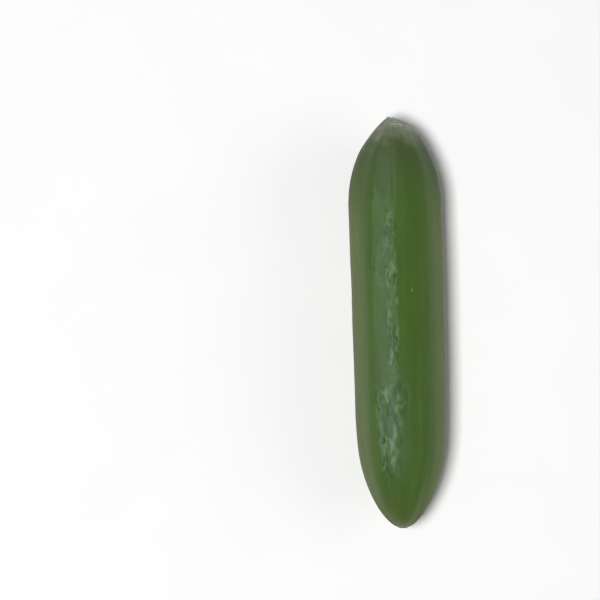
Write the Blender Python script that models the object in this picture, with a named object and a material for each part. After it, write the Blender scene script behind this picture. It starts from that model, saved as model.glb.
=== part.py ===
"""A small smooth-skinned cucumber of the Lebanese kind, whole and as picked.

It grew as one piece, so it is one closed solid. It lies on its belly along Y, with its stem end at
+Y and its blossom end at -Y, and it rests on a small flat spot at z = 0. Sizes are in metres.
"""

import math

import bmesh
import bpy

# The whole fruit
LENGTH = 0.1644  # from the rim of the stem scar to the blossom scar
BODY_RADIUS = 0.0187  # mean radius where the fruit is thickest

# How it narrows: the stem end curves in over its run, and a higher power makes a more pointed tip
STEM_RUN = 0.0353
STEM_POWER = 0.66
# The blossom end is a parabola, which would reach the full girth over its run, but levels off before
BLOSSOM_RUN = 0.029
BLOSSOM_LEVELLING = 4.4  # a higher power keeps to the parabola for longer
TAPER_SHARE = 0.006  # the blossom half is this much thinner than the stem half
TAPER_START = 0.073  # from the stem tip
TAPER_END = 0.125

# The section: three blunt corners, one of them up, and shallow lengthwise ridges
CORNERS = 3
CORNER_SHARE = 0.010
RIDGES = 10
RIDGE_SHARE = 0.0065  # half of the step from a furrow to a crest, as a share of the radius
RIDGE_END_GAIN = 0.6  # that share is this much higher again at the ends
RIDGE_END_RUN = 0.042  # and rises over this length
RIDGE_FADE = 0.010  # they die out over this length before each tip
RIDGE_TURN = math.radians(-3)  # turns them all, which puts a crest along the top
RIDGE_TWIST = math.radians(-22)  # how far they wind round from tip to tip
RIDGE_UNEVEN = 0.35  # shifts the crests, so that they are unevenly spaced
RIDGE_LOPSIDED = 0.3  # makes the ridges of one side higher

# How it lies
FLAT_DEPTH = 0.00035  # the belly is pressed flat by this much
STEM_LIFT = 0.0016  # how far each tip curves up from the straight line of the axis
STEM_LIFT_RUN = 0.038
BLOSSOM_LIFT = 0.0007
BLOSSOM_LIFT_RUN = 0.0425
SIDE_BOW = 0.00036  # how far the middle of the axis bows to the right

# The stem scar: a low ragged rim, a pit inside it and a nib of dried stalk
STEM_CUT = 0.0005  # the skin ends this far before the rim's highest point
STEM_SCAR_OFFSET = -0.0008  # the scar sits a little to the left of the axis
STEM_SCAR_BEND = 0.004  # the skin leans towards it over this length
SHOULDER_OFFSET = 0.0004  # the shoulder behind it is fuller on the right
SHOULDER_RUN = 0.013
STEM_SCAR_ANGLES = 5  # a cucumber's stalk is five-angled
STEM_SCAR_ANGLE_SHARE = 0.07
STEM_RIM_SLANT = 0.45  # the rim is higher on its left side
STEM_SCAR_STEPS = ((0.88, 0.00036), (0.66, -0.00002), (0.42, -0.00022), (0.2, 0.0001))
STEM_NIB_HEIGHT = 0.00016

# The blossom scar: a low disc with a dimple
BLOSSOM_CUT = 0.00035
BLOSSOM_SCAR_STEPS = ((0.84, 0.00026), (0.56, 0.00035), (0.26, 0.00018))
BLOSSOM_DIMPLE_HEIGHT = 0.00012

# The mesh
SEGMENTS = 80
RINGS = 50
SNAP = 0.00002  # a point this close to the resting plane is moved onto it

SKIN_COLOUR = (0.060, 0.122, 0.026, 1.0)
SKIN_ROUGHNESS = 0.42


def clear_scene():
    """Removes whatever the file held."""
    for old in list(bpy.data.objects):
        bpy.data.objects.remove(old, do_unlink=True)


def stem_share(distance):
    """Share of the full girth at a distance in from the stem tip."""
    left = 1 - min(distance / STEM_RUN, 1)
    return (1 - left**2) ** STEM_POWER


def blossom_share(distance):
    """Share of the full girth at a distance in from the blossom tip."""
    reach = distance / BLOSSOM_RUN
    return math.sqrt(reach / (1 + reach**BLOSSOM_LEVELLING) ** (1 / BLOSSOM_LEVELLING))


def smooth_step(value):
    """Goes smoothly from 0 to 1 as value does."""
    value = min(max(value, 0), 1)
    return value * value * (3 - 2 * value)


def girth(along):
    """Mean radius of the fruit at a distance from its stem tip."""
    taper = 1 - TAPER_SHARE * smooth_step((along - TAPER_START) / (TAPER_END - TAPER_START))
    return BODY_RADIUS * stem_share(along) * blossom_share(LENGTH - along) * taper


def ridge_share(along):
    """Height of the ridges as a share of the radius: most near the ends, none at the tips."""
    nearest = min(along, LENGTH - along)
    towards_end = 1 - smooth_step(nearest / RIDGE_END_RUN)
    return RIDGE_SHARE * (1 + RIDGE_END_GAIN * towards_end) * smooth_step(nearest / RIDGE_FADE)


def skin_radius(along, angle):
    """Radius of the skin, with the angle taken from straight up and turning towards +X."""
    turned = angle - RIDGE_TURN - RIDGE_TWIST * (along / LENGTH - 0.5)
    wave = math.cos(RIDGES * turned + RIDGE_UNEVEN * math.sin(2 * turned + 1))
    wave *= 1 + RIDGE_LOPSIDED * math.cos(turned - 0.6)
    corner = math.cos(CORNERS * angle)
    return girth(along) * (1 + CORNER_SHARE * corner + ridge_share(along) * wave)


def axis_height():
    """Height of the straight part of the axis, which leaves FLAT_DEPTH of the belly below z = 0."""
    return BODY_RADIUS * (1 - CORNER_SHARE + RIDGE_SHARE) - FLAT_DEPTH


def axis_point(along):
    """Centre of the section at a distance from the stem tip."""
    stem = max(1 - along / STEM_LIFT_RUN, 0)
    blossom = max(1 - (LENGTH - along) / BLOSSOM_LIFT_RUN, 0)
    lean = max(1 - along / STEM_SCAR_BEND, 0)
    shoulder = math.sin(math.pi * min(along / SHOULDER_RUN, 1))
    bow = math.sin(math.pi * along / LENGTH)
    sideways = STEM_SCAR_OFFSET * lean**2 + SHOULDER_OFFSET * shoulder + SIDE_BOW * bow
    height = axis_height() + STEM_LIFT * stem**2 + BLOSSOM_LIFT * blossom**2
    return sideways, LENGTH / 2 - along, height


def angles():
    """The angle of each point of a ring."""
    return [math.tau * step / SEGMENTS for step in range(SEGMENTS)]


def skin_ring(along):
    """One ring of points on the skin."""
    x, y, z = axis_point(along)
    ring = []
    for angle in angles():
        radius = skin_radius(along, angle)
        ring.append((x + radius * math.sin(angle), y, z + radius * math.cos(angle)))
    return ring


def stem_scar_ring(share, height):
    """One ring of the stem scar, at a share of its radius and a height above its edge."""
    x, y, z = axis_point(STEM_CUT)
    ring = []
    for angle in angles():
        radius = share * skin_radius(STEM_CUT, angle)
        radius *= 1 + STEM_SCAR_ANGLE_SHARE * share * math.cos(STEM_SCAR_ANGLES * angle)
        slant = 1 - STEM_RIM_SLANT * share * math.sin(angle)
        ring.append((x + radius * math.sin(angle), y + height * slant, z + radius * math.cos(angle)))
    return ring


def blossom_scar_ring(share, height):
    """One ring of the blossom scar, at a share of its radius and a height above its edge."""
    edge = LENGTH - BLOSSOM_CUT
    x, y, z = axis_point(edge)
    ring = []
    for angle in angles():
        radius = share * skin_radius(edge, angle)
        ring.append((x + radius * math.sin(angle), y - height, z + radius * math.cos(angle)))
    return ring


def ring_places():
    """Distances of the skin's rings from the stem tip, closer together towards both ends."""
    first = STEM_CUT
    last = LENGTH - BLOSSOM_CUT
    places = []
    for step in range(RINGS):
        share = (1 - math.cos(math.pi * step / (RINGS - 1))) / 2
        places.append(first + (last - first) * share)
    return places


def fruit_rings():
    """Every ring of the fruit, from the middle of the stem scar to the middle of the blossom scar."""
    rings = [stem_scar_ring(share, height) for share, height in reversed(STEM_SCAR_STEPS)]
    rings += [skin_ring(along) for along in ring_places()]
    rings += [blossom_scar_ring(share, height) for share, height in BLOSSOM_SCAR_STEPS]
    return rings


def add_fan(bm, tip, ring):
    """Closes a ring with triangles that meet at a tip."""
    centre = bm.verts.new(tip)
    for here, after in zip(ring, ring[1:] + ring[:1]):
        bm.faces.new((centre, here, after))


def skin_over(bm, rings):
    """Joins neighbouring rings with faces and closes both ends."""
    loops = [[bm.verts.new(point) for point in ring] for ring in rings]
    for near, far in zip(loops, loops[1:]):
        for step in range(SEGMENTS):
            after = (step + 1) % SEGMENTS
            bm.faces.new((near[step], near[after], far[after], far[step]))
    x, y, z = axis_point(STEM_CUT)
    add_fan(bm, (x, y + STEM_NIB_HEIGHT, z), loops[0])
    x, y, z = axis_point(LENGTH - BLOSSOM_CUT)
    add_fan(bm, (x, y - BLOSSOM_DIMPLE_HEIGHT, z), loops[-1])


def press_belly_flat(bm):
    """Cuts the belly off at z = 0 and closes the cut with one flat face."""
    for vert in bm.verts:
        if abs(vert.co.z) < SNAP:
            vert.co.z = 0
    everything = bm.verts[:] + bm.edges[:] + bm.faces[:]
    bmesh.ops.bisect_plane(
        bm, geom=everything, dist=1e-7, plane_co=(0, 0, 0), plane_no=(0, 0, 1), clear_inner=True
    )
    rim = [edge for edge in bm.edges if edge.is_boundary]
    bmesh.ops.contextual_create(bm, geom=rim)


def centre_over_origin(bm):
    """Moves the fruit level, so that the middle of its length and width is over the origin."""
    across = [vert.co.x for vert in bm.verts]
    length = [vert.co.y for vert in bm.verts]
    shift = ((min(across) + max(across)) / -2, (min(length) + max(length)) / -2, 0)
    bmesh.ops.translate(bm, vec=shift, verts=bm.verts)


def skin_material():
    """Dark green skin with a thin natural wax."""
    material = bpy.data.materials.new("cucumber_skin")
    material.use_nodes = True
    shader = material.node_tree.nodes["Principled BSDF"]
    shader.inputs["Base Color"].default_value = SKIN_COLOUR
    shader.inputs["Roughness"].default_value = SKIN_ROUGHNESS
    shader.inputs["Metallic"].default_value = 0
    return material


def make_cucumber():
    """The whole fruit as one object."""
    bm = bmesh.new()
    skin_over(bm, fruit_rings())
    bmesh.ops.recalc_face_normals(bm, faces=bm.faces)
    press_belly_flat(bm)
    bmesh.ops.recalc_face_normals(bm, faces=bm.faces)
    centre_over_origin(bm)
    mesh = bpy.data.meshes.new("cucumber")
    bm.to_mesh(mesh)
    bm.free()
    mesh.shade_smooth()
    mesh.set_sharp_from_angle(angle=math.radians(40))
    mesh.materials.append(skin_material())
    fruit = bpy.data.objects.new("cucumber", mesh)
    bpy.context.scene.collection.objects.link(fruit)
    return fruit


def main():
    clear_scene()
    make_cucumber()


main()
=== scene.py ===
# %% [markdown]
# A small cucumber, grown in Geometry Nodes.
# The real object is one grown piece: a fruit with a waxy dark green skin, a dry scar where it was
# cut from its stalk, and a small corky scar where its flower fell off. Nothing on it is assembled,
# so nothing here is either. One tree of nodes starts from a plain tube and pushes each point to its
# place on the fruit, and the same tree adds the faint dents, folds and warts of the skin. It could
# also be sculpted by hand, but a rule keeps every size in sight and gives the same fruit each time.

# %% Load the fixed frame
import math

import bpy
from mathutils import Matrix, Vector


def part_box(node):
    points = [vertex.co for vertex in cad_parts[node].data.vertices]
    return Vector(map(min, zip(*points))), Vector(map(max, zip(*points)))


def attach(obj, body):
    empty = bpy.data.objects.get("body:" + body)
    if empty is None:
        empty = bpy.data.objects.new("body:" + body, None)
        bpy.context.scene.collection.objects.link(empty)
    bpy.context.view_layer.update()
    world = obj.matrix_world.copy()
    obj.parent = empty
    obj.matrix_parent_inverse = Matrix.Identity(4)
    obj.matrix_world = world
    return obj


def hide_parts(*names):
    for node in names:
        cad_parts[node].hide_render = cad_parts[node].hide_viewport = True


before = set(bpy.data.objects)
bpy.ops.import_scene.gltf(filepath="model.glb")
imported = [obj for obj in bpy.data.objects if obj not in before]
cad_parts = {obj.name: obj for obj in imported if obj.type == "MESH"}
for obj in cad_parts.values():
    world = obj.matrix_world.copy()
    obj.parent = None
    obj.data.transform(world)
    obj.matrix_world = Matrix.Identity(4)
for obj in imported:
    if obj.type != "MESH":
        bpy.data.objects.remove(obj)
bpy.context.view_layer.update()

low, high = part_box("cucumber")
print("nodes", list(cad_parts))
print("solid from", tuple(round(v, 4) for v in low), "to", tuple(round(v, 4) for v in high))

# %% [markdown]
# Helpers. Two of them serve the whole file. Colours are picked as sRGB hex values, as on a colour
# chart, but shaders add up light, so one function turns them to linear numbers. A second one adds a
# node: it sets the node's own settings, fills its open sockets in order and hands back one output,
# so that a formula reads from top to bottom. Kinds of nodes that come up often get a short name.

# %% Helpers for colours and nodes
MATH = "ShaderNodeMath"
RANGE = "ShaderNodeMapRange"
VECTOR = "ShaderNodeVectorMath"
COMBINE = "ShaderNodeCombineXYZ"
SEPARATE = "ShaderNodeSeparateXYZ"
NOISE = "ShaderNodeTexNoise"
MIX = "ShaderNodeMix"
BUMP = "ShaderNodeBump"
STORE = "GeometryNodeStoreNamedAttribute"

SMOOTH = {"interpolation_type": "SMOOTHSTEP"}  # a range with a soft start and a soft end
COLOURS = {"data_type": "RGBA"}  # a mix of two colours


def colour(code):
    """Turns an sRGB hex value into the linear colour that shaders use."""
    parts = [int(code[place : place + 2], 16) / 255 for place in (1, 3, 5)]
    linear = [part / 12.92 if part <= 0.04045 else ((part + 0.055) / 1.055) ** 2.4 for part in parts]
    return (*linear, 1.0)


def add(tree, kind, *given, out=0, **settings):
    """Adds a node with its settings. Each given link or value fills the next open socket."""
    node = tree.nodes.new(kind)
    for name, value in settings.items():
        setattr(node, name, value)
    sockets = [socket for socket in node.inputs if socket.enabled]
    for socket, value in zip(sockets, given):
        if isinstance(value, bpy.types.NodeSocket):
            tree.links.new(value, socket)
        elif value is not None:
            socket.default_value = value
    return [socket for socket in node.outputs if socket.enabled][out]


print("the chart's mid grey #808080 is", round(colour("#808080")[0], 3), "as light")

# %% [markdown]
# Sizes. The fruit's length and thickness are read from the solid, so the skin always fits it. The
# rest are the habits of this kind of cucumber: how far each end takes to close, how blunt it is, how
# strong the ridges are and how they wind. The skin is drawn in by about a tenth of a millimetre,
# which leaves room for the relief that stands on it.

# %% Sizes of the fruit
MM = 0.001
length = high.y - low.y
body_radius = (high.x - low.x) / 2

FRUIT = {
    # the whole, and how its ends close
    "Length": length,
    "Body Radius": body_radius,
    "Relief Room": 0.12 * MM,
    "Stem Run": 35.3 * MM,
    "Stem Power": 0.66,
    "Blossom Run": 29 * MM,
    "Blossom Levelling": 4.4,
    "Taper Share": 0.006,
    "Taper Start": 73 * MM,
    "Taper End": 125 * MM,
    # the section
    "Corner Share": 0.010,
    "Ridges": 10.0,
    "Ridge Share": 0.0065,
    "Ridge End Gain": 0.6,
    "Ridge End Run": 42 * MM,
    "Ridge Fade": 10 * MM,
    "Ridge Turn": math.radians(-3),
    "Ridge Twist": math.radians(-22),
    "Ridge Uneven": 0.35,
    "Ridge Lopsided": 0.3,
    # how it lies and bends, and where its scars are
    "Flat Depth": 0.35 * MM,
    "Stem Lift": 1.6 * MM,
    "Stem Lift Run": 38 * MM,
    "Blossom Lift": 0.7 * MM,
    "Blossom Lift Run": 42.5 * MM,
    "Side Bow": 0.36 * MM,
    "Scar Offset": -0.8 * MM,
    "Scar Bend": 4 * MM,
    "Shoulder Offset": 0.4 * MM,
    "Shoulder Run": 13 * MM,
    "Stem Cut": 0.5 * MM,
    "Blossom Cut": 0.35 * MM,
    # the relief of the skin
    "Wave Height": 0.10 * MM,
    "Dent Depth": 0.12 * MM,
    "Groove Depth": 0.12 * MM,
    "Line Height": 0.02 * MM,
    "Fold Depth": 0.2 * MM,
    "Fold Pitch": 0.95 * MM,
    "Fold Droop": 5 * MM,
    "Wart Radius": 0.9 * MM,
    "Wart Height": 0.09 * MM,
    "Wart Spacing": 13 * MM,
}
COUNTS = {"Points Round": 270, "Steps Along": 330, "Scar Rings": 10, "Seed": 7}
print(f"length {length / MM:.1f} mm, radius {body_radius / MM:.2f} mm")

# %% [markdown]
# The tree. It needs its named inputs before anything can read them. They are the sizes above, so a
# reader can change one in the modifier and watch the fruit follow.


# %% The tree and its inputs
def start_tree(name, sizes, counts):
    """A new tree with one input for each size and count, and one mesh to give back."""
    tree = bpy.data.node_groups.new(name, "GeometryNodeTree")
    for title in sizes:
        tree.interface.new_socket(name=title, in_out="INPUT", socket_type="NodeSocketFloat")
    for title in counts:
        tree.interface.new_socket(name=title, in_out="INPUT", socket_type="NodeSocketInt")
    tree.interface.new_socket(name="Geometry", in_out="OUTPUT", socket_type="NodeSocketGeometry")
    inputs = tree.nodes.new("NodeGroupInput")
    return tree, {socket.name: socket for socket in inputs.outputs if socket.name}


tree, size = start_tree("grow_cucumber", FRUIT, COUNTS)
print(len(size), "inputs")

# %% [markdown]
# Tube. It is the right thing to start from: it has rings of points, like a fruit's own sections, and
# its two round caps become the scars. Its points are closer together towards both ends, where the
# fruit curves in fastest, because a cosine turns even steps into such ones.

# %% Where each point of the tube lies on the fruit
tube = add(
    tree, "GeometryNodeMeshCylinder", size["Points Round"], size["Steps Along"], size["Scar Rings"],
    1.0, 1.0, fill_type="TRIANGLE_FAN",
)
stem_cap, blossom_cap = tube.node.outputs["Top"], tube.node.outputs["Bottom"]
here = add(tree, "GeometryNodeInputPosition")
spot = add(tree, SEPARATE, here).node.outputs
angle = add(tree, MATH, spot["Y"], spot["X"], operation="ARCTAN2")
level_spot = add(tree, COMBINE, spot["X"], spot["Y"], 0.0)
ring_share = add(tree, VECTOR, level_spot, operation="LENGTH")

swing = add(tree, RANGE, spot["Z"], 0.5, -0.5, 0.0, math.pi)
swing = add(tree, MATH, swing, operation="COSINE")
last_skin = add(tree, MATH, size["Length"], size["Blossom Cut"], operation="SUBTRACT")
along = add(tree, RANGE, swing, 1.0, -1.0, size["Stem Cut"], last_skin)
to_blossom = add(tree, MATH, size["Length"], along, operation="SUBTRACT")
print(COUNTS["Points Round"], "points round the tube,", COUNTS["Steps Along"], "steps along it")

# %% [markdown]
# Girth. The two ends close along different curves. The stem end starts as a short neck: an ellipse
# made more pointed by a higher power. The blossom end is blunter, a parabola that would go on
# widening, but levels off where the straight part of the fruit begins.

# %% Girth
stem_left = add(tree, RANGE, along, 0.0, size["Stem Run"], 1.0, 0.0)
stem_left = add(tree, MATH, stem_left, 2.0, operation="POWER")
stem_share = add(tree, MATH, 1.0, stem_left, operation="SUBTRACT")
stem_share = add(tree, MATH, stem_share, size["Stem Power"], operation="POWER")

blossom_reach = add(tree, MATH, to_blossom, size["Blossom Run"], operation="DIVIDE")
levelling = add(tree, MATH, blossom_reach, size["Blossom Levelling"], operation="POWER")
levelling = add(tree, MATH, levelling, 1.0, operation="ADD")
root = add(tree, MATH, 1.0, size["Blossom Levelling"], operation="DIVIDE")
levelling = add(tree, MATH, levelling, root, operation="POWER")
blossom_share = add(tree, MATH, blossom_reach, levelling, operation="DIVIDE")
blossom_share = add(tree, MATH, blossom_share, operation="SQRT")

thin = add(tree, MATH, 1.0, size["Taper Share"], operation="SUBTRACT")
taper = add(tree, RANGE, along, size["Taper Start"], size["Taper End"], 1.0, thin, **SMOOTH)
girth = add(tree, MATH, size["Body Radius"], stem_share, operation="MULTIPLY")
girth = add(tree, MATH, girth, blossom_share, operation="MULTIPLY")
girth = add(tree, MATH, girth, taper, operation="MULTIPLY")
print("girth is settled after", len(tree.nodes), "nodes")

# %% [markdown]
# Section. A cucumber has three seed chambers, and its section shows them as three blunt corners.
# Ten shallow ridges follow the bundles of veins under the skin. They wind slowly, are unevenly
# spaced and stronger on one side, and they die out before the tips. They are only about a quarter of
# a millimetre high, but each one bends the light, so the shine breaks up into long soft bands. A
# cosine of the angle gives both, with its crests shifted by a slower sine.

# %% Ridges round the section
CHAMBERS = 3.0  # seed chambers, one for each blunt corner
HIGHER_SIDE = 0.6  # how far round from the top the ridges are highest, in radians

turn_share = add(tree, RANGE, along, 0.0, size["Length"], -0.5, 0.5)
twist = add(tree, MATH, turn_share, size["Ridge Twist"], operation="MULTIPLY")
twist = add(tree, MATH, twist, size["Ridge Turn"], operation="ADD")
turned = add(tree, MATH, angle, twist, operation="SUBTRACT")
uneven = add(tree, MATH, turned, 2.0, 1.0, operation="MULTIPLY_ADD")
uneven = add(tree, MATH, uneven, operation="SINE")
uneven = add(tree, MATH, uneven, size["Ridge Uneven"], operation="MULTIPLY")
phase = add(tree, MATH, turned, size["Ridges"], uneven, operation="MULTIPLY_ADD")
phase = add(tree, MATH, phase, operation="COSINE")
lopsided = add(tree, MATH, turned, HIGHER_SIDE, operation="SUBTRACT")
lopsided = add(tree, MATH, lopsided, operation="COSINE")
lopsided = add(tree, MATH, lopsided, size["Ridge Lopsided"], 1.0, operation="MULTIPLY_ADD")
ridge_wave = add(tree, MATH, phase, lopsided, operation="MULTIPLY")
print(f"a ridge is {math.tau * body_radius / FRUIT['Ridges'] / MM:.1f} mm wide")

# %% [markdown]
# The ridges are highest near both ends of the fruit and gone at the tips themselves, where the skin
# closes smoothly. Two soft ranges of the distance to the nearer tip say so. Then the corners and the
# ridges together scale the girth to the radius of the skin.

# %% Height of the ridges and the whole section
to_tip = add(tree, MATH, along, to_blossom, operation="MINIMUM")
strongest = add(tree, MATH, size["Ridge End Gain"], 1.0, operation="ADD")
gain = add(tree, RANGE, to_tip, 0.0, size["Ridge End Run"], strongest, 1.0, **SMOOTH)
fade = add(tree, RANGE, to_tip, 0.0, size["Ridge Fade"], 0.0, 1.0, **SMOOTH)
ridge = add(tree, MATH, gain, fade, operation="MULTIPLY")
ridge = add(tree, MATH, ridge, size["Ridge Share"], operation="MULTIPLY")
ridge = add(tree, MATH, ridge, ridge_wave, operation="MULTIPLY")
corner = add(tree, MATH, angle, CHAMBERS, operation="MULTIPLY")
corner = add(tree, MATH, corner, operation="COSINE")
outline = add(tree, MATH, corner, size["Corner Share"], 1.0, operation="MULTIPLY_ADD")
outline = add(tree, MATH, outline, ridge, operation="ADD")
room = add(tree, MATH, size["Relief Room"], -1.0, operation="MULTIPLY")
radius = add(tree, MATH, girth, outline, room, operation="MULTIPLY_ADD")
crest_height = 2 * FRUIT["Ridge Share"] * body_radius
print(f"a crest stands about {crest_height / MM:.2f} mm above a furrow")

# %% [markdown]
# Axis. The fruit is all but straight. Its stem tip curves up a little, so that the folds of the neck
# can be seen from above, and its blossom tip less so. The scar of the stalk sits a little to one
# side, and the shoulder behind it is fuller on the other.


# %% Axis
def tip_bend(distance, run, amount):
    """A bend of the axis that grows with the square of the way out to the tip."""
    left = add(tree, RANGE, distance, 0.0, run, 1.0, 0.0)
    left = add(tree, MATH, left, 2.0, operation="POWER")
    return add(tree, MATH, left, amount, operation="MULTIPLY")


half_turn = add(tree, RANGE, along, 0.0, size["Shoulder Run"], 0.0, math.pi)
shoulder = add(tree, MATH, half_turn, operation="SINE")
lean = tip_bend(along, size["Scar Bend"], size["Scar Offset"])
sideways = add(tree, MATH, shoulder, size["Shoulder Offset"], lean, operation="MULTIPLY_ADD")
half_turn = add(tree, RANGE, along, 0.0, size["Length"], 0.0, math.pi)
bow = add(tree, MATH, half_turn, operation="SINE")
sideways = add(tree, MATH, bow, size["Side Bow"], sideways, operation="MULTIPLY_ADD")

belly_share = add(tree, MATH, size["Ridge Share"], size["Corner Share"], operation="SUBTRACT")
belly_share = add(tree, MATH, belly_share, 1.0, operation="ADD")
axis_height = add(tree, MATH, size["Body Radius"], belly_share, operation="MULTIPLY")
axis_height = add(tree, MATH, axis_height, size["Flat Depth"], operation="SUBTRACT")
stem_bend = tip_bend(along, size["Stem Lift Run"], size["Stem Lift"])
blossom_bend = tip_bend(to_blossom, size["Blossom Lift Run"], size["Blossom Lift"])
height = add(tree, MATH, axis_height, stem_bend, operation="ADD")
height = add(tree, MATH, height, blossom_bend, operation="ADD")

half_length = add(tree, MATH, size["Length"], 0.5, operation="MULTIPLY")
forward = add(tree, MATH, half_length, along, operation="SUBTRACT")
print(f"the tips lift by {FRUIT['Stem Lift'] / MM:.1f} and {FRUIT['Blossom Lift'] / MM:.1f} mm")

# %% [markdown]
# Scars. The stalk of a cucumber is five-angled and tears or is cut off close to the fruit. What is
# left is a ragged rim of skin, a pit that has dried and sunk, and a nib of tough fibres in the
# middle. The flower leaves only a low corky disc with a dimple. Both are drawn as profiles from the
# middle to the edge, in a curve whose points are listed one by one, and the caps of the tube follow
# them.

# %% Profiles of the scars
SCAR_LOWEST, SCAR_HIGHEST = -0.3 * MM, 0.4 * MM
# each is a share of the way from the middle to the edge, and the height there in millimetres
STEM_SCAR = [(0, 0.16), (0.2, 0.1), (0.42, -0.22), (0.66, -0.02), (0.88, 0.34), (1, 0)]
BLOSSOM_SCAR = [(0, 0.05), (0.3, 0.12), (0.62, 0.29), (0.85, 0.22), (1, 0)]


def scar_profile(points):
    """Height of a scar from its middle to its edge."""
    curve = add(tree, "ShaderNodeFloatCurve", 1.0, ring_share)
    line = curve.node.mapping.curves[0]
    while len(line.points) < len(points):
        line.points.new(0.5, 0.5)
    for point, (share, value) in zip(line.points, points):
        point.location = (share, (value * MM - SCAR_LOWEST) / (SCAR_HIGHEST - SCAR_LOWEST))
    curve.node.mapping.update()
    return add(tree, RANGE, curve, 0.0, 1.0, SCAR_LOWEST, SCAR_HIGHEST)


stem_profile = scar_profile(STEM_SCAR)
blossom_profile = scar_profile(BLOSSOM_SCAR)
print(len(STEM_SCAR), "points for the stem scar,", len(BLOSSOM_SCAR), "for the blossom scar")

# %% [markdown]
# The stem scar is uneven, because a cut or a tear leaves its rim lower on one side and ragged. A
# sine of the angle slants its profile, and a noise makes it ragged. The flower drops off cleanly, so
# the blossom scar stays even.

# %% Height of the scars
RIM_SLANT = -0.4  # the rim of the stem scar is lower on its right side by this share

slant = add(tree, MATH, angle, operation="SINE")
slant = add(tree, MATH, slant, ring_share, operation="MULTIPLY")
slant = add(tree, MATH, slant, RIM_SLANT, 1.0, operation="MULTIPLY_ADD")
ragged = add(tree, NOISE, here, 3.0, 3.0, 0.6)
ragged = add(tree, RANGE, ragged, 0.3, 0.7, 0.55, 1.15)
stem_height = add(tree, MATH, stem_profile, slant, operation="MULTIPLY")
stem_height = add(tree, MATH, stem_height, ragged, operation="MULTIPLY")
blossom_height = add(tree, MATH, blossom_profile, -1.0, operation="MULTIPLY")
at_stem = add(tree, MATH, spot["Z"], 0.0, operation="GREATER_THAN")
scar_height = add(
    tree, "GeometryNodeSwitch", at_stem, blossom_height, stem_height, input_type="FLOAT"
)
print("both scars stand in one value, after", len(tree.nodes), "nodes")

# %% [markdown]
# Shape. With every rule in place, each point moves to where it belongs. Angles are taken from
# straight up, so the sine gives the way across and the cosine the height. Nothing may go below the
# table: the belly is pressed flat where it would, as soft skin is. The place of each point on the
# unrolled skin is stored too, with the full girth all along it, so that patterns drawn there run
# together towards the tips as the real ones do.

# %% Push the tube into shape
reach = add(tree, MATH, radius, ring_share, operation="MULTIPLY")
across_share = add(tree, MATH, angle, operation="SINE")
up_share = add(tree, MATH, angle, operation="COSINE")
x = add(tree, MATH, reach, across_share, sideways, operation="MULTIPLY_ADD")
z = add(tree, MATH, reach, up_share, height, operation="MULTIPLY_ADD")
z = add(tree, MATH, z, 0.0, operation="MAXIMUM")
y = add(tree, MATH, forward, scar_height, operation="ADD")
fruit_point = add(tree, COMBINE, x, y, z)

full_girth = add(tree, MATH, size["Body Radius"], ring_share, operation="MULTIPLY")
unrolled = add(tree, COMBINE, across_share, up_share, 0.0)
unrolled = add(tree, VECTOR, unrolled, full_girth, operation="SCALE")
unrolled = add(tree, VECTOR, unrolled, add(tree, COMBINE, 0.0, 0.0, along), operation="ADD")

fruit = tube
for name, value, kind in (
    ("skin_place", unrolled, "FLOAT_VECTOR"),
    ("ridge_wave", ridge_wave, "FLOAT"),
):
    fruit = add(tree, STORE, fruit, None, name, value, data_type=kind, domain="POINT")
fruit = add(tree, "GeometryNodeSetPosition", fruit, None, fruit_point)
print("the tube has become a fruit after", len(tree.nodes), "nodes")

# %% [markdown]
# Places on the skin. Much of what follows shows only in some places: round one angle, or between
# two distances from the stem tip. The points have moved by now, so where each one lies on the skin
# is read back from its stored place. Two functions then say how far a point is inside such a place,
# with soft edges, because nothing on a grown skin has a hard one.


# %% Places on the skin
def band(value, rise_from, rise_to, fall_from, fall_to):
    """1 between two edges of a value, with a soft rise and a soft fall."""
    rise = add(tree, RANGE, value, rise_from, rise_to, 0.0, 1.0, **SMOOTH)
    fall = add(tree, RANGE, value, fall_from, fall_to, 1.0, 0.0, **SMOOTH)
    return add(tree, MATH, rise, fall, operation="MULTIPLY")


def angle_band(middle, full, none):
    """1 round an angle, in degrees to the right of straight up, and soft towards both sides."""
    off = add(tree, MATH, skin_angle, math.radians(middle), operation="SUBTRACT")
    off = add(tree, MATH, off, operation="COSINE")
    least, most = math.cos(math.radians(none)), math.cos(math.radians(full))
    return add(tree, RANGE, off, least, most, 0.0, 1.0, **SMOOTH)


skin_place = add(tree, "GeometryNodeInputNamedAttribute", "skin_place", data_type="FLOAT_VECTOR")
skin_parts = add(tree, SEPARATE, skin_place).node.outputs
skin_along = skin_parts["Z"]
skin_angle = add(tree, MATH, skin_parts["X"], skin_parts["Y"], operation="ARCTAN2")
off_tips = add(tree, MATH, size["Length"], skin_along, operation="SUBTRACT")
off_tips = add(tree, MATH, skin_along, off_tips, operation="MINIMUM")
off_tips = add(tree, RANGE, off_tips, 2 * MM, 12 * MM, 0.0, 1.0, **SMOOTH)
print(f"the skin is {math.tau * body_radius / MM:.0f} mm round, unrolled")

# %% [markdown]
# Dented places. Here and there the skin has a fine pattern of shallow dents drawn out along the
# fruit. The largest such place is on the blossom half. It leans to the left and narrows towards the
# blossom, with a faint bluish haze beside it, partly thicker wax and partly painted sheen. It could
# be painted, but a band along the fruit times a band round it gives the same place with each of its
# edges in sight.

# %% The largest dented place and its haze of wax and painted sheen
# distances from the stem tip: it starts, is full, is still full and has ended
DENTS_ALONG = (98 * MM, 112 * MM, 138 * MM, 149 * MM)
HAZE_AND_SHEEN_ALONG = (88 * MM, 112 * MM, 136 * MM, 150 * MM)
LEAN_ALONG = (112 * MM, 140 * MM)
LEAN_FROM, LEAN_TO = math.radians(-14), math.radians(-20)
NARROWED = 1.6  # how many times narrower it is at its blossom end
FULL_WITHIN, NONE_BEYOND = math.radians(9), math.radians(33)

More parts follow.
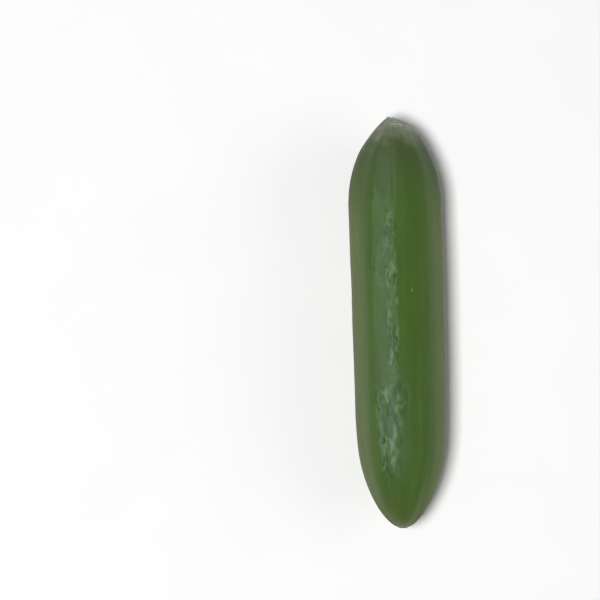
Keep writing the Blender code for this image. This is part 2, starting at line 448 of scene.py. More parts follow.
narrowing = add(tree, RANGE, skin_along, *LEAN_ALONG, 1.0, NARROWED)
middle = add(tree, RANGE, skin_along, *LEAN_ALONG, LEAN_FROM, LEAN_TO)
off_middle = add(tree, MATH, skin_angle, middle, operation="SUBTRACT")
off_middle = add(tree, MATH, off_middle, operation="ABSOLUTE")
off_middle = add(tree, MATH, off_middle, narrowing, operation="MULTIPLY")
big_place = add(tree, RANGE, off_middle, FULL_WITHIN, NONE_BEYOND, 1.0, 0.0, **SMOOTH)
big_place = add(tree, MATH, big_place, band(skin_along, *DENTS_ALONG), operation="MULTIPLY")
# the haze: partly thicker wax, partly painted sheen in the colour
haze_and_sheen = add(tree, MATH, angle_band(-2, 2, 18), band(skin_along, *HAZE_AND_SHEEN_ALONG), operation="MULTIPLY")
print(f"the dented place is {(DENTS_ALONG[3] - DENTS_ALONG[0]) / MM:.0f} mm long")

# %% [markdown]
# A narrow trail of dents runs on from there along the top towards the stem, and a noise thins it out
# here and there. Another noise scatters faint places over the rest, apart from one smooth side. Where
# two places meet, the stronger one counts. How strongly each point is dented is one value by now, so
# that the finish can follow it.

# %% The trail and the scattered places
TRAIL_ALONG = (30 * MM, 44 * MM, 96 * MM, 112 * MM)
TRAIL_BREAKS = 9 * MM  # how far apart the trail thins out
SCATTER_WIDTH = 15 * MM  # how far apart the scattered places are

trail = add(tree, MATH, angle_band(-9, 4, 10), band(skin_along, *TRAIL_ALONG), operation="MULTIPLY")
broken = add(tree, NOISE, skin_place, 1 / TRAIL_BREAKS, 1.0, 0.5)
broken = add(tree, RANGE, broken, 0.42, 0.52, 0.4, 1.0)
trail = add(tree, MATH, trail, broken, operation="MULTIPLY")

scattered = add(tree, NOISE, skin_place, 1 / SCATTER_WIDTH, 1.0, 0.5)
scattered = add(tree, RANGE, scattered, 0.5, 0.7, 0.0, 0.45, **SMOOTH)
smooth_side = add(tree, MATH, 1.0, angle_band(32, 25, 40), operation="SUBTRACT")
scattered = add(tree, MATH, scattered, smooth_side, operation="MULTIPLY")

dented = add(tree, MATH, big_place, trail, operation="MAXIMUM")
dented = add(tree, MATH, dented, scattered, operation="MAXIMUM")
dented = add(tree, MATH, dented, off_tips, operation="MULTIPLY")
print(f"the trail is {(TRAIL_ALONG[3] - TRAIL_ALONG[0]) / MM:.0f} mm long")

# %% [markdown]
# Relief. Under a raking light the skin is not smooth. It has slow waves a few centimetres long, the
# dents, and faint lines that follow the veins. Each is a noise. The dents and lines are drawn out
# along the fruit by shrinking the distance along it, and all are added up as one height.

# %% Waves, dents and fine lines
WAVE_LENGTH = 26 * MM
DENT_WIDTH = 2.3 * MM
LINE_WIDTH = 1.8 * MM

waves = add(tree, NOISE, skin_place, 1 / WAVE_LENGTH, 1.0, 0.5)
waves = add(tree, RANGE, waves, 0.3, 0.7, -1.0, 1.0)
waves = add(tree, MATH, waves, size["Wave Height"], operation="MULTIPLY")

dents = add(tree, VECTOR, skin_place, (1.0, 1.0, 0.4), operation="MULTIPLY")
dents = add(tree, NOISE, dents, 1 / DENT_WIDTH, 1.0, 0.5, 2.0, 0.6)
dents = add(tree, RANGE, dents, 0.38, 0.58, -1.0, 0.0, **SMOOTH)
dents = add(tree, MATH, dents, dented, operation="MULTIPLY")
dents = add(tree, MATH, dents, size["Dent Depth"], operation="MULTIPLY")

vein_lines = add(tree, VECTOR, skin_place, (1.0, 1.0, 0.07), operation="MULTIPLY")
vein_lines = add(tree, NOISE, vein_lines, 1 / LINE_WIDTH, 1.0, 0.5)
vein_lines = add(tree, RANGE, vein_lines, 0.3, 0.7, -1.0, 1.0)
vein_lines = add(tree, MATH, vein_lines, size["Line Height"], operation="MULTIPLY")

relief = add(tree, MATH, waves, vein_lines, operation="ADD")
relief = add(tree, MATH, relief, off_tips, operation="MULTIPLY")
relief = add(tree, MATH, relief, dents, operation="ADD")
print(f"the dents are {FRUIT['Dent Depth'] / MM:.2f} mm deep at most")

# %% [markdown]
# Neck. Where the young fruit hung from its stalk, the skin has shrunk into a few folds. They cross
# the top right behind the scar and droop away from it down the sides, with sharp creases between
# them: a sine without its sign gives such creases. They are clearest on the right of the top and go
# on more weakly all round.

# %% Neck folds
FOLDS_BEHIND_SCAR = (0.2 * MM, 0.7 * MM, 3.2 * MM, 5.0 * MM)
WOBBLE = 3.4  # how far the folds wander, in folds
WOBBLE_WIDTH = 4.5 * MM
PATCH_WIDTH = 3.5 * MM  # how far apart the places are where the folds run out

droop = add(tree, MATH, skin_angle, operation="COSINE")
droop = add(tree, MATH, 1.0, droop, operation="SUBTRACT")
droop = add(tree, MATH, droop, size["Fold Droop"], operation="MULTIPLY")
behind_scar = add(tree, MATH, skin_along, droop, operation="SUBTRACT")
wobble = add(tree, NOISE, here, 1 / WOBBLE_WIDTH, 2.0, 0.55)
folds = add(tree, MATH, behind_scar, size["Fold Pitch"], operation="DIVIDE")
folds = add(tree, MATH, wobble, WOBBLE, folds, operation="MULTIPLY_ADD")
folds = add(tree, MATH, folds, math.pi, operation="MULTIPLY")
folds = add(tree, MATH, folds, operation="SINE")
folds = add(tree, MATH, folds, operation="ABSOLUTE")

all_round = add(tree, RANGE, angle_band(46, 34, 66), 0.0, 1.0, 0.25, 1.0)
wrinkled = band(behind_scar, *FOLDS_BEHIND_SCAR)
wrinkled = add(tree, MATH, wrinkled, all_round, operation="MULTIPLY")
patchy = add(tree, NOISE, here, 1 / PATCH_WIDTH, 1.0, 0.5)
patchy = add(tree, RANGE, patchy, 0.4, 0.58, 0.2, 1.0)
wrinkled = add(tree, MATH, wrinkled, patchy, operation="MULTIPLY")
neck = add(tree, MATH, folds, 0.9, operation="SUBTRACT")
neck = add(tree, MATH, neck, wrinkled, operation="MULTIPLY")
relief = add(tree, MATH, neck, size["Fold Depth"], relief, operation="MULTIPLY_ADD")
print(f"the folds are {FRUIT['Fold Pitch'] / MM:.2f} mm apart")

# %% [markdown]
# Groove. A straight shallow groove runs on along the top from behind the folds and fades out where
# the fruit is full. It is a narrow band round one angle, taken off the height of the skin.

# %% Groove along the neck
GROOVE_ALONG = (6 * MM, 12 * MM, 26 * MM, 44 * MM)

groove = angle_band(-5, 0, 2.2)
groove = add(tree, MATH, groove, band(skin_along, *GROOVE_ALONG), operation="MULTIPLY")
groove_floor = add(tree, MATH, size["Groove Depth"], -1.0, operation="MULTIPLY")
relief = add(tree, MATH, groove, groove_floor, relief, operation="MULTIPLY_ADD")
print(f"the groove is {(GROOVE_ALONG[3] - GROOVE_ALONG[0]) / MM:.0f} mm long")

# %% [markdown]
# Warts. This kind is sold as smooth, yet its skin still has a few dozen low warts, left from the
# prickles of the young fruit. They are set out by a seeded scatter that keeps them apart, none of
# them close to the tips or under the belly. Small domes could be set on the points, but a wart has
# no edge, so the skin itself is raised in a soft bell round each point.

# %% Warts
SCATTER_DENSITY = 5000.0  # points on a square metre, before the ones too close together go

clear_of_table = add(tree, SEPARATE, here, out=2)
clear_of_table = add(tree, RANGE, clear_of_table, 1 * MM, 4 * MM, 0.0, 1.0)
chance = add(tree, MATH, off_tips, clear_of_table, operation="MULTIPLY")
scatter = add(
    tree, "GeometryNodeDistributePointsOnFaces", fruit, None, size["Wart Spacing"], SCATTER_DENSITY,
    chance, size["Seed"], distribute_method="POISSON",
)
nearest = add(tree, "GeometryNodeProximity", scatter, target_element="POINTS").node.outputs
own_size = add(tree, "ShaderNodeTexWhiteNoise", nearest["Position"])
own_size = add(tree, RANGE, own_size, 0.0, 1.0, 0.4, 1.0)
wart_reach = add(tree, MATH, size["Wart Radius"], own_size, operation="MULTIPLY")
wart = add(tree, RANGE, nearest["Distance"], wart_reach, 0.0, 0.0, 1.0, **SMOOTH)
wart_height = add(tree, MATH, wart, own_size, operation="MULTIPLY")
wart_height = add(tree, MATH, wart_height, size["Wart Height"], operation="MULTIPLY")
relief = add(tree, MATH, relief, wart_height, operation="ADD")
print(f"the warts are {2 * FRUIT['Wart Radius'] / MM:.1f} mm wide at most")

# %% [markdown]
# Raising it. The whole relief is one height by now, so one move along the normals raises it. No
# point may sink below the table by it. What the finish has to follow is stored on the mesh first.

# %% Raise the relief
LOWEST_POINT = (-1.0, -1.0, 0.0)  # only the height is held back

marks = {
    "dented": dented,
    "wart": wart,
    "crest": folds,
    "wrinkled": wrinkled,
    "groove": groove,
    "haze_and_sheen": haze_and_sheen,
}
for name, value in marks.items():
    fruit = add(tree, STORE, fruit, None, name, value, data_type="FLOAT", domain="POINT")
raised = add(tree, VECTOR, add(tree, "GeometryNodeInputNormal"), relief, operation="SCALE")
raised = add(tree, VECTOR, here, raised, operation="ADD")
raised = add(tree, VECTOR, raised, LOWEST_POINT, operation="MAXIMUM")
fruit = add(tree, "GeometryNodeSetPosition", fruit, None, raised)
print(len(marks), "marks are stored for the finish")

# %% [markdown]
# Fibres. A cut stalk shows the ends of its veins as a ring of tough dots round the pith. Ten small
# beads stand for them, set round the pit of the stem scar and sunk into it. They are instances on a
# circle of points, each one shaken out of line a little.

# %% Fibre ends in the stem scar
FIBRES = 10
SCAR_SHARE = 0.095  # radius of the stem scar as a share of the fruit's
RING_SHARE = 0.55  # radius of the ring of fibres as a share of the scar's
SHAKE = Vector((0.12 * MM, 0.12 * MM, 0.05 * MM))
BEAD_RADIUS = 0.2 * MM

ring_radius = add(tree, MATH, size["Body Radius"], SCAR_SHARE, operation="MULTIPLY")
ring_radius = add(tree, MATH, ring_radius, RING_SHARE, operation="MULTIPLY")
fibre_ring = add(tree, "GeometryNodeMeshCircle", FIBRES, ring_radius)
shake = add(tree, "FunctionNodeRandomValue", -SHAKE, SHAKE, data_type="FLOAT_VECTOR")
fibre_ring = add(tree, "GeometryNodeSetPosition", fibre_ring, None, None, shake)
bead = add(tree, "GeometryNodeMeshIcoSphere", BEAD_RADIUS, 2)
bead_size = add(tree, "FunctionNodeRandomValue", 0.7, 1.2, None, 3, data_type="FLOAT")
fibres = add(
    tree, "GeometryNodeInstanceOnPoints", fibre_ring, None, bead, None, None, None, bead_size
)
fibres = add(tree, "GeometryNodeRealizeInstances", fibres)

scar_y = add(tree, MATH, half_length, size["Stem Cut"], operation="SUBTRACT")
scar_z = add(tree, MATH, axis_height, size["Stem Lift"], operation="ADD")
scar_centre = add(tree, COMBINE, size["Scar Offset"], scar_y, scar_z)
fibres = add(tree, "GeometryNodeTransform", fibres, scar_centre, (math.radians(90), 0.0, 0.0))
print(FIBRES, "fibre ends on a ring of", round(body_radius * SCAR_SHARE * RING_SHARE / MM, 2), "mm")

# %% [markdown]
# Skin. Fresh cucumber skin is a living cell layer, dark green with chlorophyll, under a thin natural
# wax. It was grown, not finished by hand, so its colour runs in faint lengthwise streaks, with a
# more yellow tip where the flower was and a greyer neck. The eye sees a satin sheen: broad soft
# highlights from the wax, with the deep colour still showing through them. The next cells lay one
# thing after another over the green. All of them read the place on the unrolled skin and the stored
# marks, so that the colour follows the relief.


# %% Start the waxy cucumber skin
def start_material(name, roughness, ior):
    """A material with a plain Principled shader."""
    material = bpy.data.materials.new(name)
    material.use_nodes = True
    shader = material.node_tree.nodes["Principled BSDF"]
    shader.inputs["Roughness"].default_value = roughness
    shader.inputs["IOR"].default_value = ior
    return material, material.node_tree, shader


skin, shades, shader = start_material("waxy_cucumber_skin", 0.3, 1.45)
on_skin = add(shades, "ShaderNodeAttribute", attribute_name="skin_place", out=1)
on_skin_parts = add(shades, SEPARATE, on_skin).node.outputs
along_skin = on_skin_parts["Z"]
upwards = on_skin_parts["Y"]
stored = {
    name: add(shades, "ShaderNodeAttribute", attribute_name=name, out=2)
    for name in ("ridge_wave", *marks)
}
print("the skin reads", ", ".join(stored))

# %% [markdown]
# Green. The veins under the skin draw streaks about 2 mm wide and 30 mm long. Clouds a centimetre
# across show where the skin saw less light. The furrows between the ridges get painted shade, darker
# than the crests. The sides and the belly are paler and more olive: partly the skin that grew in the
# shade of the leaves, partly painted light that brightens the sides.

# %% Streaks, clouds, painted furrow shade, and paler sides with painted light
STREAK_WIDTH = 2.2 * MM
CLOUD_WIDTH = 11 * MM

streaks = add(shades, VECTOR, on_skin, (1.0, 1.0, 0.07), operation="MULTIPLY")
streaks = add(shades, NOISE, streaks, 1 / STREAK_WIDTH, 3.0, 0.55)
streaks = add(shades, RANGE, streaks, 0.32, 0.68, 0.0, 1.0)
green = add(shades, MIX, streaks, colour("#415B25"), colour("#466229"), **COLOURS)

clouds = add(shades, NOISE, on_skin, 1 / CLOUD_WIDTH, 2.0, 0.5)
clouds = add(shades, RANGE, clouds, 0.35, 0.65, 0.0, 0.3)
green = add(shades, MIX, clouds, green, colour("#405223"), **COLOURS)

# painted shade: the furrows between the ridges are darkened in the colour
painted_furrow_shade = add(shades, RANGE, stored["ridge_wave"], -1.0, 0.6, 0.14, 0.0)
green = add(shades, MIX, painted_furrow_shade, green, colour("#2E4216"), **COLOURS)

# paler, more olive sides and belly: partly grown so, partly painted light that brightens them
paler_sides_and_painted_light = add(shades, RANGE, upwards, 0.8 * body_radius, 0.5 * body_radius, 0.0, 0.7, **SMOOTH)
past_neck = add(shades, RANGE, along_skin, 2 * MM, 50 * MM, 0.0, 1.0)
paler_sides_and_painted_light = add(shades, MATH, paler_sides_and_painted_light, past_neck, operation="MULTIPLY")
green = add(shades, MIX, paler_sides_and_painted_light, green, colour("#667248"), **COLOURS)
print("the plain green takes", len(shades.nodes), "nodes")

# %% [markdown]
# Pores and flecks. The skin breathes through pores far too small to see. They are drawn here as
# dots 0.4 mm wide, as coarse as they need to be to just show. A few small flecks show where
# something has grazed the skin. Both are the middles of a Voronoi pattern's cells, and most of the
# cells for the flecks stay bare.

# %% Pores and flecks
PORE_SPACING = 2.6 * MM
PORE_FULL, PORE_EDGE = 0.04, 0.1  # distances from its middle, as shares of the spacing
FLECK_SPACING = 5.5 * MM
FLECKS_LEFT_OUT = 0.82  # share of the spots for a fleck that stay bare

pores = add(shades, "ShaderNodeTexVoronoi", on_skin, 1 / PORE_SPACING, 0.0, 0.5, 2.0, 1.0)
pores = add(shades, RANGE, pores, PORE_FULL, PORE_EDGE, 0.14, 0.0)
green = add(shades, MIX, pores, green, colour("#7C8C55"), **COLOURS)

flecks = add(shades, VECTOR, on_skin, (1.0, 1.0, 0.4), operation="MULTIPLY")
flecks = add(shades, "ShaderNodeTexVoronoi", flecks, 1 / FLECK_SPACING, 0.0, 0.5, 2.0, 1.0)
fleck_colour = flecks.node.outputs["Color"]
fleck = add(shades, RANGE, flecks, 0.02, 0.08, 0.5, 0.0)
chosen = add(shades, SEPARATE, fleck_colour, out=0)
chosen = add(shades, MATH, chosen, FLECKS_LEFT_OUT, operation="GREATER_THAN")
fleck = add(shades, MATH, fleck, chosen, operation="MULTIPLY")
green = add(shades, MIX, fleck, green, colour("#82A04E"), **COLOURS)
print(f"a pore is drawn {(PORE_FULL + PORE_EDGE) * PORE_SPACING / MM:.1f} mm wide")

# %% [markdown]
# Dents. Their hollows get painted shade, and the dabs of skin that stand between them get a paler,
# bluer painted highlight, the broken-up shine of the wax. The dabs are large in the largest dented
# place and fine along the trail. Beside the dents a bluish haze is partly thicker wax and partly
# painted sheen, and the groove gets painted shade.

# %% Painted shade and highlight of the dents, the haze with painted sheen, the groove's painted shade
LARGE_DAB = 2.1 * MM
FINE_DAB = 1.55 * MM
GROWING_ALONG = (92 * MM, 108 * MM)  # between these the fine dabs give way to the large ones

drawn_dabs = add(shades, VECTOR, on_skin, (1.0, 1.0, 0.42), operation="MULTIPLY")
large_dabs = add(shades, NOISE, drawn_dabs, 1 / LARGE_DAB, 2.0, 0.45, 2.0, 0.7)
fine_dabs = add(shades, NOISE, drawn_dabs, 1 / FINE_DAB, 2.0, 0.45, 2.0, 0.9)
how_large = add(shades, RANGE, along_skin, *GROWING_ALONG, 0.0, 1.0)
dabs = add(shades, MIX, how_large, fine_dabs, large_dabs)

# painted shade in the hollows of the dents
painted_dent_shade = add(shades, RANGE, dabs, 0.36, 0.5, 0.65, 0.0)
painted_dent_shade = add(shades, MATH, painted_dent_shade, stored["dented"], operation="MULTIPLY")
green = add(shades, MIX, painted_dent_shade, green, colour("#27411D"), **COLOURS)

# painted highlight on the dabs between the dents, paler and bluer
strongly = add(shades, MATH, stored["dented"], 1.8, operation="POWER")
painted_dab_highlight = add(shades, RANGE, dabs, 0.5, 0.66, 0.0, 0.7)
painted_dab_highlight = add(shades, MATH, painted_dab_highlight, strongly, operation="MULTIPLY")
green = add(shades, MIX, painted_dab_highlight, green, colour("#6B8664"), **COLOURS)

# painted shade in the groove along the neck
painted_groove_shade = add(shades, MATH, stored["groove"], 0.6, operation="MULTIPLY")
green = add(shades, MIX, painted_groove_shade, green, colour("#273A1B"), **COLOURS)
# painted sheen: a bluish haze mixed into the colour, partly thicker wax
haze_and_sheen_share = add(shades, MATH, stored["haze_and_sheen"], 0.1, operation="MULTIPLY")
green = add(shades, MIX, haze_and_sheen_share, green, colour("#6A6F78"), **COLOURS)
print("the dabs are", LARGE_DAB / MM, "and", FINE_DAB / MM, "mm wide")

# %% [markdown]
# Neck. It is greyer than the rest, and behind the scar it is pale with a dry bloom that radiates
# from the stalk and ends unevenly. Its folds are pale on their crests, partly dry skin and partly
# painted highlight, and they get painted shade in their creases.

# %% Colour of the neck
GREY_ALONG = (12 * MM, 42 * MM)
BLOOM_ALONG = (2 * MM, 15 * MM)
UNEVEN_BY = 2.5 * MM
UNEVEN_WIDTH = 5 * MM

greyer = add(shades, RANGE, along_skin, *GREY_ALONG, 0.9, 0.0, **SMOOTH)
green = add(shades, MIX, greyer, green, colour("#42542E"), **COLOURS)

uneven_edge = add(shades, "ShaderNodeTexCoord", out=3)
uneven_edge = add(shades, NOISE, uneven_edge, 1 / UNEVEN_WIDTH, 2.0, 0.55)
uneven_edge = add(shades, RANGE, uneven_edge, 0.3, 0.7, -UNEVEN_BY, UNEVEN_BY)
uneven_edge = add(shades, MATH, along_skin, uneven_edge, operation="ADD")
bloom_share = add(shades, RANGE, uneven_edge, *BLOOM_ALONG, 0.87, 0.0, **SMOOTH)
radiating = add(shades, RANGE, streaks, 0.0, 1.0, 0.6, 1.0)
bloom_share = add(shades, MATH, bloom_share, radiating, operation="MULTIPLY")
green = add(shades, MIX, bloom_share, green, colour("#7E866F"), **COLOURS)

# pale crests of the folds: partly dry skin, partly painted highlight
pale_fold_and_painted_highlight = add(shades, RANGE, stored["crest"], 0.6, 0.92, 0.0, 1.0)
pale_fold_and_painted_highlight = add(shades, MATH, pale_fold_and_painted_highlight, stored["wrinkled"], operation="MULTIPLY")
green = add(shades, MIX, pale_fold_and_painted_highlight, green, colour("#C6C8B8"), **COLOURS)
# painted shade in the creases between the folds
painted_crease_shade = add(shades, RANGE, stored["crest"], 0.1, 0.5, 0.8, 0.0)
painted_crease_shade = add(shades, MATH, painted_crease_shade, stored["wrinkled"], operation="MULTIPLY")
green = add(shades, MIX, painted_crease_shade, green, colour("#3A452B"), **COLOURS)
print(f"the bloom of the neck ends {BLOOM_ALONG[1] / MM:.0f} mm behind the scar")

# %% [markdown]
# Blossom tip and warts. The blossom tip lay against the flower and is more yellow. The top of a wart
# has lost its prickle and is pale and dry, and the pale top is also a painted glint. With these the
# colour is whole.

# %% Colour of the blossom tip and the warts
tip_share = add(
    shades, RANGE, along_skin, length - 20 * MM, length - 0.5 * MM, 0.0, 0.8, **SMOOTH
)
green = add(shades, MIX, tip_share, green, colour("#4D5C2B"), **COLOURS)
# pale wart tops: the dry prickle scar and a painted glint
dry_top_and_painted_glint = add(shades, RANGE, stored["wart"], 0.7, 0.95, 0.0, 0.6)
green = add(shades, MIX, dry_top_and_painted_glint, green, colour("#8FA068"), **COLOURS)
shades.links.new(green, shader.inputs["Base Color"])
print("the whole colour takes", len(shades.nodes), "nodes")

# %% [markdown]
# Shine. The top is rubbed to a satin shine, most of all where it is dented, and the sides still have
# their dull bloom. The finest relief is too fine for the mesh, so bump draws it: the dents' own
# small shape, then the cells of the skin, drawn half a millimetre apart so that they just show.

# %% Shine and grain of the skin
RUBBED_WIDTH = 3 * MM
CELL_WIDTH = 0.55 * MM
DENT_BUMP, CELL_BUMP = 0.3 * MM, 0.03 * MM

rubbed = add(shades, VECTOR, on_skin, (1.0, 1.0, 0.3), operation="MULTIPLY")
rubbed = add(shades, NOISE, rubbed, 1 / RUBBED_WIDTH, 3.0, 0.6)
rubbed = add(shades, RANGE, rubbed, 0.3, 0.7, 0.27, 0.37)
rubbed = add(shades, MATH, stored["dented"], -0.09, rubbed, operation="MULTIPLY_ADD")
dull = add(shades, RANGE, upwards, 0.92 * body_radius, 0.5 * body_radius, 0.0, 0.36, **SMOOTH)
dull = add(shades, MATH, rubbed, dull, operation="ADD")
shades.links.new(dull, shader.inputs["Roughness"])

dent_shape = add(shades, MATH, dabs, stored["dented"], operation="MULTIPLY")
dent_bump = add(shades, BUMP, 1.0, DENT_BUMP, None, dent_shape)
cells = add(shades, VECTOR, on_skin, (1.0, 1.0, 0.35), operation="MULTIPLY")
cells = add(shades, NOISE, cells, 1 / CELL_WIDTH, 2.0, 0.6)
grain = add(shades, BUMP, 0.3, CELL_BUMP, None, cells)
shades.links.new(dent_bump, grain.node.inputs["Normal"])
shades.links.new(grain, shader.inputs["Normal"])
print("the finished skin takes", len(shades.nodes), "nodes")

# %% [markdown]
# Dry tissue. Where the stalk was cut the fruit sealed itself with a dry, corky tissue. It is matte,
# pale grey-brown to grey-green and fibrous. Where the flower fell it left a thinner cork, more
# olive. Both are the same tissue in other colours, so one function makes them. The fibres are drawn
# a third of a millimetre wide, coarser than the real ones, so that they show.

# %% Dried stalk and blossom cork
FIBRE_WIDTH = 0.35 * MM
FIBRE_BUMP = 0.06 * MM


def dried_tissue(name, pale, dark):
    """Matte corky tissue with fine fibres."""
    material, shades, shader = start_material(name, 0.8, 1.4)
    in_piece = add(shades, "ShaderNodeTexCoord", out=3)
    fibre = add(shades, NOISE, in_piece, 1 / FIBRE_WIDTH, 4.0, 0.65)
    fibre = add(shades, RANGE, fibre, 0.35, 0.65, 0.0, 1.0)
    blend = add(shades, MIX, fibre, colour(dark), colour(pale), **COLOURS)
    shades.links.new(blend, shader.inputs["Base Color"])
    matte = add(shades, RANGE, fibre, 0.0, 1.0, 0.7, 0.9)
    shades.links.new(matte, shader.inputs["Roughness"])
    fuzz = add(shades, BUMP, 0.5, FIBRE_BUMP, None, fibre)
    shades.links.new(fuzz, shader.inputs["Normal"])
    return material


stalk = dried_tissue("dried_stalk_tissue", "#8B8A66", "#4F5838")
cork = dried_tissue("blossom_cork", "#777A4A", "#5B6536")
print("materials", [material.name for material in (skin, stalk, cork)])

# %% [markdown]
# End of the tree. Each face gets its material here, and Realize Instances makes everything one real
# mesh, because an export knows no instances.

# %% Materials and the end of the tree
SET_MATERIAL = "GeometryNodeSetMaterial"

fruit = add(tree, SET_MATERIAL, fruit, None, skin)
fruit = add(tree, SET_MATERIAL, fruit, stem_cap, stalk)
fruit = add(tree, SET_MATERIAL, fruit, blossom_cap, cork)
fibres = add(tree, SET_MATERIAL, fibres, None, stalk)
whole = add(tree, "GeometryNodeJoinGeometry", fruit)
tree.links.new(fibres, whole.node.inputs[0])
whole = add(tree, "GeometryNodeSetShadeSmooth", whole, None, True)
whole = add(tree, "GeometryNodeRealizeInstances", whole)
tree.links.new(whole, tree.nodes.new("NodeGroupOutput").inputs["Geometry"])
print("the whole tree takes", len(tree.nodes), "nodes")

# %% [markdown]
# Growing it. The tree runs as a modifier on an empty mesh, with each input set by its socket's
# identifier before that. The evaluated object is copied to a plain mesh, so that no live modifier is
# left behind it. Last, the fruit moves across by a hair, to the middle of the solid's box.


# %% Grow the fruit
def grow(name, sizes):
    """Runs the tree on an empty mesh and gives the result as a plain mesh object."""
    piece = bpy.data.objects.new(name, bpy.data.meshes.new(name))
    bpy.context.scene.collection.objects.link(piece)
    modifier = piece.modifiers.new("Grow", "NODES")
    modifier.node_group = tree
    for socket in tree.interface.items_tree:
        if socket.in_out == "INPUT":
            modifier[socket.identifier] = sizes[socket.name]
    grown = piece.evaluated_get(bpy.context.evaluated_depsgraph_get())
    piece.data = bpy.data.meshes.new_from_object(grown)
    piece.modifiers.remove(modifier)
    return piece


cucumber = grow("cucumber_fruit", {**FRUIT, **COUNTS})
across = [vertex.co.x for vertex in cucumber.data.vertices]
to_middle = (low.x + high.x) / 2 - (min(across) + max(across)) / 2
cucumber.data.transform(Matrix.Translation((to_middle, 0, 0)))
print(f"{len(cucumber.data.polygons)} faces, moved {to_middle / MM:.3f} mm across")

# %% [markdown]
# Frame. The fruit rides on the one body of the frame and stands for its plain solid, which stays in
# the physics as what collides and weighs.

# %% Tie it to the frame
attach(cucumber, "root")
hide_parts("cucumber")
print(cucumber.name, "rides on root")

# %% [markdown]
# Floor. The fruit lies on a plain white sheet of matte paper. The sheet is a little below the fruit,
# so that no two faces share a place, and its tooth is drawn as very faint clouds, because the real
# one is too fine to show.

# %% Floor
FLOOR_REACH = 1.5
FLOOR_GAP = 0.05 * MM
TOOTH_WIDTH = 40 * MM


def white_floor():
    """A plain white sheet just below the fruit."""
    corners = [(-1, -1), (1, -1), (1, 1), (-1, 1)]
    corners = [(FLOOR_REACH * x, FLOOR_REACH * y, low.z - FLOOR_GAP) for x, y in corners]
    mesh = bpy.data.meshes.new("floor")
    mesh.from_pydata(corners, [], [(0, 1, 2, 3)])
    material, shades, shader = start_material("white_paper", 0.7, 1.45)
    on_sheet = add(shades, "ShaderNodeTexCoord", out=3)
    tooth = add(shades, NOISE, on_sheet, 1 / TOOTH_WIDTH, 2.0, 0.5)
    paper = add(shades, MIX, tooth, colour("#F1F1F1"), colour("#F5F5F5"), **COLOURS)
    shades.links.new(paper, shader.inputs["Base Color"])
    shader.inputs["Specular IOR Level"].default_value = 0.2
    mesh.materials.append(material)
    floor = bpy.data.objects.new("floor", mesh)
    bpy.context.scene.collection.objects.link(floor)


white_floor()
print("the floor is", 2 * FLOOR_REACH, "m wide")

# %% [markdown]
# Camera. It looks straight down on the fruit from a metre away. The picture is 240 mm wide at the
# height of the fruit's middle, and the fruit lies to the right of the picture's centre, tilted a
# little, with its stem end up.

# %% Camera
PICTURE_WIDTH = 240 * MM
CAMERA_DISTANCE = 1.0
SENSOR = 36.0  # width of the sensor, in the millimetres that a lens is given in
FRUIT_RIGHT_OF_CENTRE = 39.3 * MM
FRUIT_BELOW_CENTRE = 9 * MM
FRUIT_TILT = math.radians(1.6)


def camera_above():
    """Looks straight down, turned so that the fruit leans to the left at its stem end."""
    right = Vector((math.cos(FRUIT_TILT), -math.sin(FRUIT_TILT), 0))
    up = Vector((math.sin(FRUIT_TILT), math.cos(FRUIT_TILT), 0))
    lens = bpy.data.cameras.new("camera")
    lens.sensor_width = SENSOR
    lens.lens = SENSOR * CAMERA_DISTANCE / PICTURE_WIDTH
    lens.clip_start = 0.01
    camera = bpy.data.objects.new("camera", lens)
    stand = (low + high) / 2 - right * FRUIT_RIGHT_OF_CENTRE + up * FRUIT_BELOW_CENTRE
    stand.z += CAMERA_DISTANCE
    camera.matrix_world = Matrix.Translation(stand) @ Matrix.Rotation(-FRUIT_TILT, 4, "Z")
    bpy.context.scene.collection.objects.link(camera)
    bpy.context.scene.camera = camera
    return lens


lens = camera_above()
print(f"the lens is {lens.lens:.0f} mm long")

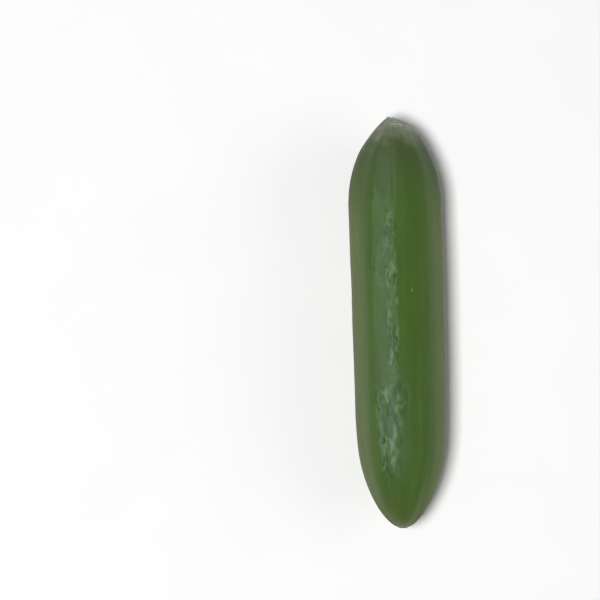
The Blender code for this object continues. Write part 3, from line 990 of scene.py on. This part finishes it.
# %% [markdown]
# Light. A panel almost overhead gives most of the light and the narrow shadow on the right, and a
# fill on the right opens that shadow. Both shine through polarising sheets, which take away their
# own reflections, so they are hidden from glossy rays. What the waxy skin does reflect are three
# softboxes on the left. The wide one reaches from almost overhead to halfway down and gives the pale
# band with its clear border along the top. A narrow one makes the part next to that border a little
# brighter, and a small one does so for the band towards the blossom end. They are so dim that they
# would hardly light the floor, so they are hidden from diffuse rays.

# %% Light
LAMP_DISTANCE = 1.5
COOL, WHITE = "#E6EDFF", "#FFFFFF"


def softbox(name, left, towards_blossom, width, depth, watts, tint):
    """A rectangular lamp that faces the fruit, placed by how far it leans from overhead."""
    lamp = bpy.data.lights.new(name, "AREA")
    lamp.shape = "RECTANGLE"
    lamp.size, lamp.size_y, lamp.energy = width, depth, watts
    lamp.color = colour(tint)[:3]
    holder = bpy.data.objects.new(name, lamp)
    away = (-math.tan(math.radians(left)), -math.tan(math.radians(towards_blossom)), 1)
    away = Vector(away).normalized()
    across_it = Vector((0, 1, 0)).cross(away).normalized()
    turn = Matrix((across_it, away.cross(across_it), away)).transposed().to_4x4()
    holder.matrix_world = Matrix.Translation(away * LAMP_DISTANCE) @ turn
    bpy.context.scene.collection.objects.link(holder)
    return holder


only_reflected = (
    softbox("wide_softbox", 31, -28, 1.25, 2.2, 6.8, COOL),
    softbox("strip_softbox", 15, -20, 0.28, 1.5, 0.7, COOL),
    softbox("small_softbox", 44, 16, 1.0, 0.9, 3.8, COOL),
)
only_lighting = (
    softbox("overhead_panel", 12.7, 2, 0.37, 0.37, 20.7, WHITE),
    softbox("right_fill", -62, 0, 1.0, 1.4, 5.4, WHITE),
)
for lamp in only_reflected:
    lamp.visible_diffuse = False
for lamp in only_lighting:
    lamp.visible_glossy = False
print(len(only_lighting), "lamps only light,", len(only_reflected), "are only reflected")

# %% [markdown]
# Room. A white room gives a little light from all sides. The plain Standard view keeps the colours
# as they were picked from the chart.

# %% Room
world = bpy.data.worlds.new("studio")
world.use_nodes = True
background = world.node_tree.nodes["Background"]
background.inputs["Color"].default_value = colour("#F6F6F4")
background.inputs["Strength"].default_value = 0.12
bpy.context.scene.world = world
bpy.context.scene.view_settings.view_transform = "Standard"
print("world", world.name)
